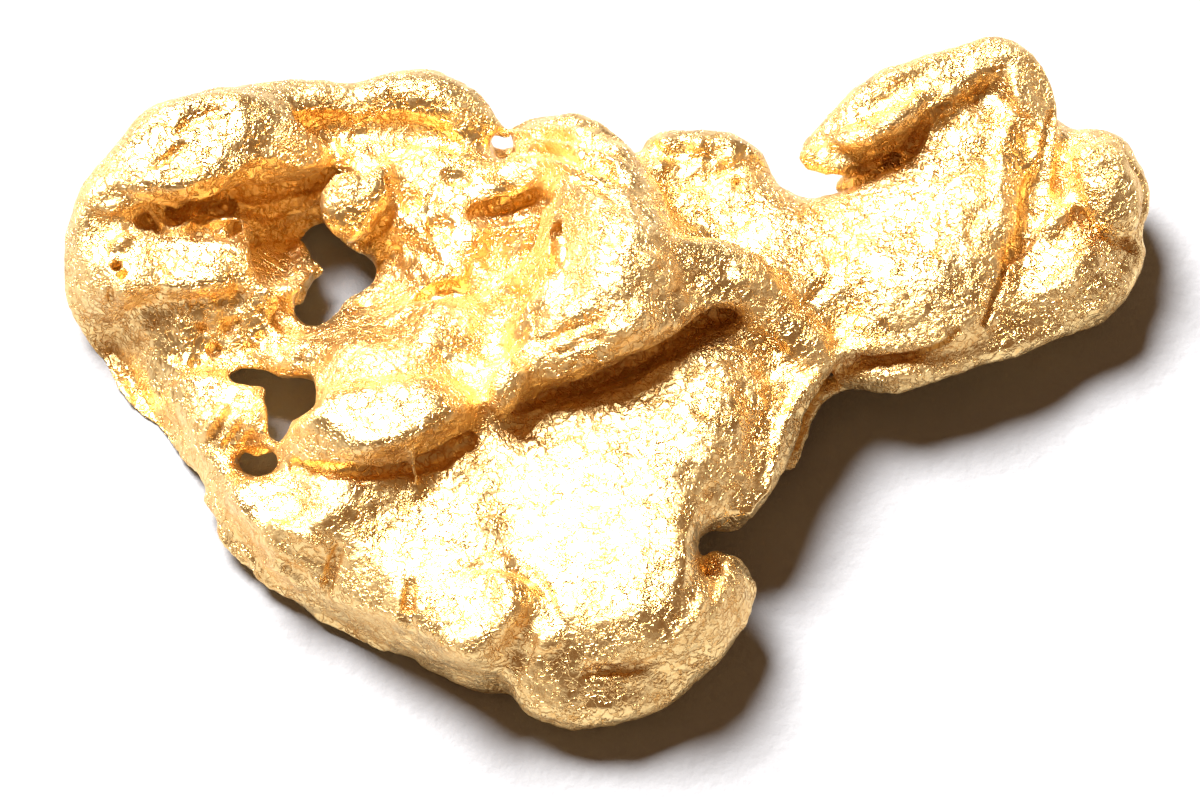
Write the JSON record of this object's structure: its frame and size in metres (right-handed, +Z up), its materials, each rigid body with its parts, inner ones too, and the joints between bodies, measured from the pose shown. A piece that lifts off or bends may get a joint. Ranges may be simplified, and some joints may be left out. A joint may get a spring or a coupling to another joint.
{
  "type": "gold nugget",
  "caption": "Natural gold nugget: a lumpy, folded crust with caves and small see-through holes, lying flat on its feet.",
  "frame": {"origin": "middle of the box that the nugget fills, on the surface that it lies on", "axes": "+X along its length, from the broad, cave-riddled body towards the narrow arm; +Y towards its back edge; +Z up from the surface it lies on, with its folds and caves on top"},
  "size_m": [0.0262, 0.0178, 0.0059],
  "materials": {
    "gold": null
  },
  "bodies": {
    "root": {"gold_nugget": "gold"}
  },
  "joints": []
}
